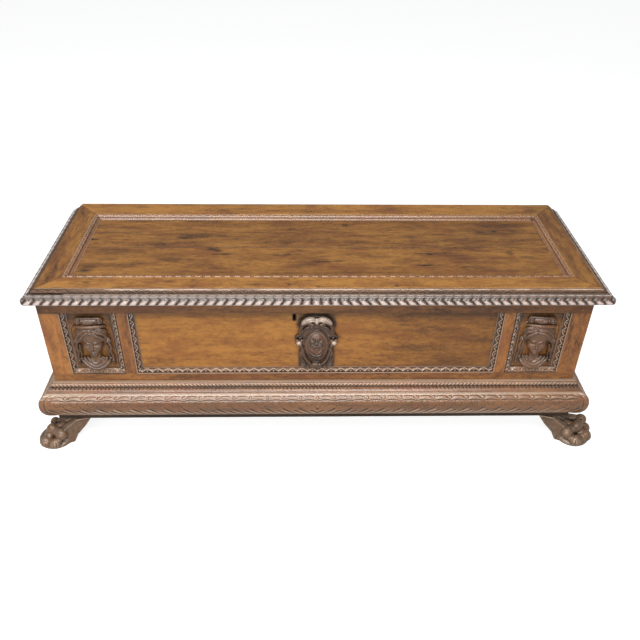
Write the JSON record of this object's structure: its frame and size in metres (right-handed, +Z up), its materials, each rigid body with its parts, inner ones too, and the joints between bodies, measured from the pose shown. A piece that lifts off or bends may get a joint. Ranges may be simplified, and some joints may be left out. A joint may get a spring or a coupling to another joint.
{
  "type": "cassone",
  "caption": "Low walnut storage chest: framed hinged lid with rope-gadroon edge, panelled front with niche heads and cartouche, bulging carved base and lion-paw feet.",
  "frame": {"origin": "on the floor, at the centre of the object's footprint box (front toes to hinge knuckles, toe to toe)", "axes": "+Z up, +X along the chest's length to the right as seen from the front, +Y from the front to the back"},
  "size_m": [1.8648, 0.6412, 0.5836],
  "materials": {
    "walnut_frame": "aged walnut, waxed, satin, worn at the edges",
    "walnut_panel": "golden aged walnut panels, waxed, satin",
    "walnut_lid": "aged walnut with dark streaks, knots and stains, waxed",
    "walnut_moulding": "carved walnut, grey-brown, waxed high spots and dark hollows",
    "walnut_carved": "dark carved walnut, waxed high spots and dark hollows",
    "plain_wood": "unfinished old secondary wood, dry and dusty",
    "old_iron": "hand-forged iron, dark, lightly rusted"
  },
  "bodies": {
    "chest": {"back_lower_board": "plain_wood", "back_upper_board": "plain_wood", "base_back_rail": "plain_wood", "base_front_cap": "walnut_moulding", "base_front_torus": "walnut_moulding", "base_left_cap": "walnut_moulding", "base_left_torus": "walnut_moulding", "base_right_cap": "walnut_moulding", "base_right_torus": "walnut_moulding", "bottom_back_board": "plain_wood", "bottom_front_board": "plain_wood", "cartouche": "walnut_carved", "centre_panel_moulding": "walnut_moulding", "foot_dowels": "plain_wood", "frame_pegs": "walnut_frame", "front_bottom_rail": "walnut_frame", "front_centre_panel": "walnut_panel", "front_left_foot": "walnut_carved", "front_left_mid_stile": "walnut_frame", "front_left_stile": "walnut_frame", "front_right_foot": "walnut_carved", "front_right_mid_stile": "walnut_frame", "front_right_stile": "walnut_frame", "front_top_rail": "walnut_frame", "hinge_chest_nails": "old_iron", "hinge_chest_straps": "old_iron", "hinge_pins": "old_iron", "left_end_moulding": "walnut_moulding", "left_end_panel": "walnut_panel", "left_end_rails": "walnut_frame", "left_end_stiles": "walnut_frame", "left_head_carving": "walnut_carved", "left_niche_moulding": "walnut_moulding", "left_niche_panel": "walnut_panel", "lock_case": "old_iron", "lock_nails": "old_iron", "rear_left_foot": "walnut_carved", "rear_right_foot": "walnut_carved", "right_end_moulding": "walnut_moulding", "right_end_panel": "walnut_panel", "right_end_rails": "walnut_frame", "right_end_stiles": "walnut_frame", "right_head_carving": "walnut_carved", "right_niche_moulding": "walnut_moulding", "right_niche_panel": "walnut_panel", "sub_base_boards": "plain_wood"},
    "lid": {"lid_front_rail": "walnut_lid", "lid_back_rail": "walnut_lid", "lid_left_rail": "walnut_lid", "lid_right_rail": "walnut_lid", "lid_front_board": "walnut_lid", "lid_back_board": "walnut_lid", "lid_panel_moulding": "walnut_moulding", "lid_front_gadroon": "walnut_moulding", "lid_left_gadroon": "walnut_moulding", "lid_right_gadroon": "walnut_moulding", "hinge_lid_straps": "old_iron", "lid_staple": "old_iron", "lid_nails": "old_iron"},
    "lock_bolt": {"lock_bolt": "old_iron"}
  },
  "joints": [
    {"name": "lid_hinge", "type": "hinge", "parent": "chest", "child": "lid", "pos_m": [0, 0.31464, 0.5509], "axis": [-1, 0, 0], "range_deg": [0, 100]},
    {"name": "lock_bolt_slide", "type": "slide", "parent": "chest", "child": "lock_bolt", "axis": [1, 0, 0], "range_m": [0, 0.018]}
  ]
}
